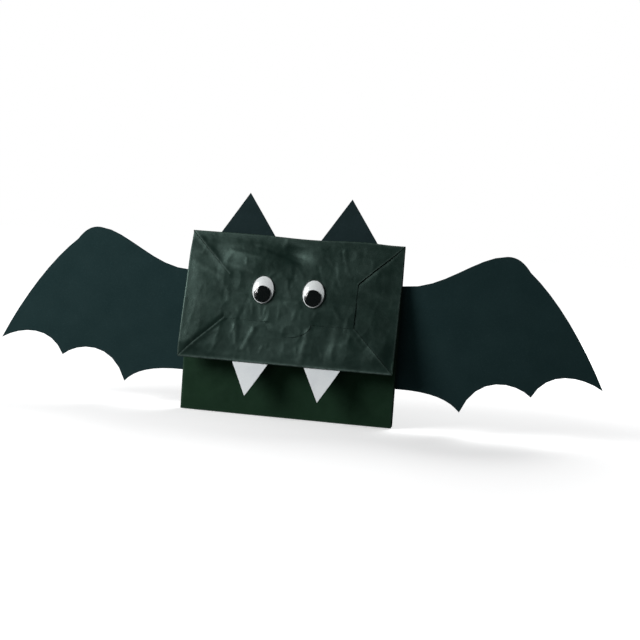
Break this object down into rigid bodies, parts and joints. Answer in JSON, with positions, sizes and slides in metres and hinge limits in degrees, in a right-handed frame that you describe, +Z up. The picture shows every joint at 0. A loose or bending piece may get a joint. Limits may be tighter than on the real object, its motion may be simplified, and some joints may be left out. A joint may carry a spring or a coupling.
{
  "type": "paper bag puppet",
  "caption": "Bat hand puppet made from a folded flat-bottomed paper bag, with card wings, ears and fangs and wobbly eyes; the head lifts to open its mouth.",
  "frame": {"origin": "middle of the open mouth of the bag, at its lower edge, midway between the back and front panels", "axes": "+Z up towards the ears, -Y out of the face, +X to the viewer's right, along the wings"},
  "size_m": [0.376, 0.028, 0.1352],
  "materials": {
    "bag_paper": "smooth black bag paper, greenish, with a soft sheen and fine creases",
    "bag_inner_folds": "the same black bag paper, in the folds",
    "wing_paper": "matte black construction paper",
    "ear_paper": "matte black construction paper",
    "fang_paper": "matte off-white construction paper",
    "eye_backing": "white plastic disc",
    "eye_lens": "clear glossy moulded plastic dome",
    "pupil": "black plastic disc"
  },
  "bodies": {
    "root": {"back_panel": "bag_paper", "left_gusset_rear": "bag_inner_folds", "right_gusset_rear": "bag_inner_folds", "left_wing_tab": "wing_paper", "right_wing_tab": "wing_paper", "left_ear": "ear_paper", "right_ear": "ear_paper"},
    "front": {"front_panel": "bag_paper", "left_gusset_front": "bag_inner_folds", "right_gusset_front": "bag_inner_folds"},
    "head": {"upper_bottom_flap": "bag_paper", "lower_bottom_flap": "bag_paper", "left_side_tuck": "bag_paper", "right_side_tuck": "bag_paper", "left_head_pleat": "bag_inner_folds", "right_head_pleat": "bag_inner_folds", "left_eye_backing": "eye_backing", "left_eye_lens": "eye_lens", "right_eye_backing": "eye_backing", "right_eye_lens": "eye_lens"},
    "mouth": {"mouth_strip": "bag_paper", "left_lip_pleat": "bag_inner_folds", "right_lip_pleat": "bag_inner_folds", "left_fang": "fang_paper", "right_fang": "fang_paper"},
    "left_wing": {"left_wing": "wing_paper"},
    "right_wing": {"right_wing": "wing_paper"},
    "left_pupil": {"left_pupil": "pupil"},
    "right_pupil": {"right_pupil": "pupil"}
  },
  "joints": [
    {"name": "head_lift", "type": "hinge", "parent": "root", "child": "head", "pos_m": [0, 0.003, 0.11], "axis": [-1, 0, 0], "range_deg": [0, 40]},
    {"name": "front_panel_swing", "type": "hinge", "parent": "root", "child": "front", "pos_m": [0, -0.003, 0], "axis": [1, 0, 0], "range_deg": [0, 15]},
    {"name": "lip_fold", "type": "hinge", "parent": "head", "child": "mouth", "pos_m": [0, -0.01708, 0.03359], "axis": [-1, 0, 0], "range_deg": [0, 22.5]},
    {"name": "left_wing_fold", "type": "hinge", "parent": "root", "child": "left_wing", "pos_m": [-0.066, 0.0037, 0.054], "axis": [0, 0, 1], "range_deg": [-45, 75]},
    {"name": "right_wing_fold", "type": "hinge", "parent": "root", "child": "right_wing", "pos_m": [0.066, 0.0037, 0.054], "axis": [0, 0, -1], "range_deg": [-45, 75]},
    {"name": "left_pupil_slide", "type": "slide", "parent": "head", "child": "left_pupil", "axis": [0, 0.2542, 0.9672], "range_m": [0, 0.0056]},
    {"name": "right_pupil_slide", "type": "slide", "parent": "head", "child": "right_pupil", "axis": [0, 0.2542, 0.9672], "range_m": [0, 0.0056]}
  ],
  "couplings": [
    {"joint": "front_panel_swing", "follows": "head_lift", "ratio": 0.369},
    {"joint": "lip_fold", "follows": "head_lift", "ratio": 0.556}
  ]
}
